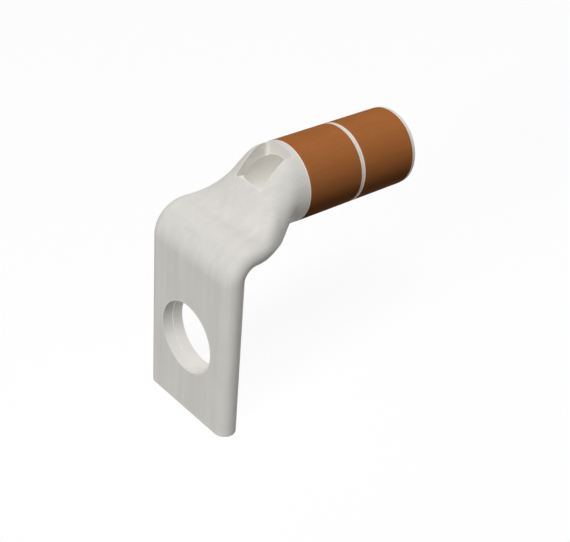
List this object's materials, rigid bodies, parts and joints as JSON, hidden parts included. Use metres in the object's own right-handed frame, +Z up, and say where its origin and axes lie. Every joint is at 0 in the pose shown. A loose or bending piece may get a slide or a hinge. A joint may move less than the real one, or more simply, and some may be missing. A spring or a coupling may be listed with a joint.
{
  "type": "cable lug",
  "caption": "Right-angle cable lug of tinned copper tube: round crimp barrel with brown colour bands, inspection window, flattened palm with a stud hole.",
  "frame": {"origin": "centre of the stud hole on the palm's outer face", "axes": "+X along the barrel towards its open mouth, +Z up the palm towards the bend, Y across the palm"},
  "size_m": [0.0337, 0.0164, 0.0353],
  "materials": {
    "tinned_copper": "satin tin plate over copper",
    "brown_ink": "satin printed colour band"
  },
  "bodies": {
    "root": {"lug_body": "tinned_copper", "colour_band_front": "brown_ink", "colour_band_rear": "brown_ink"}
  },
  "joints": []
}
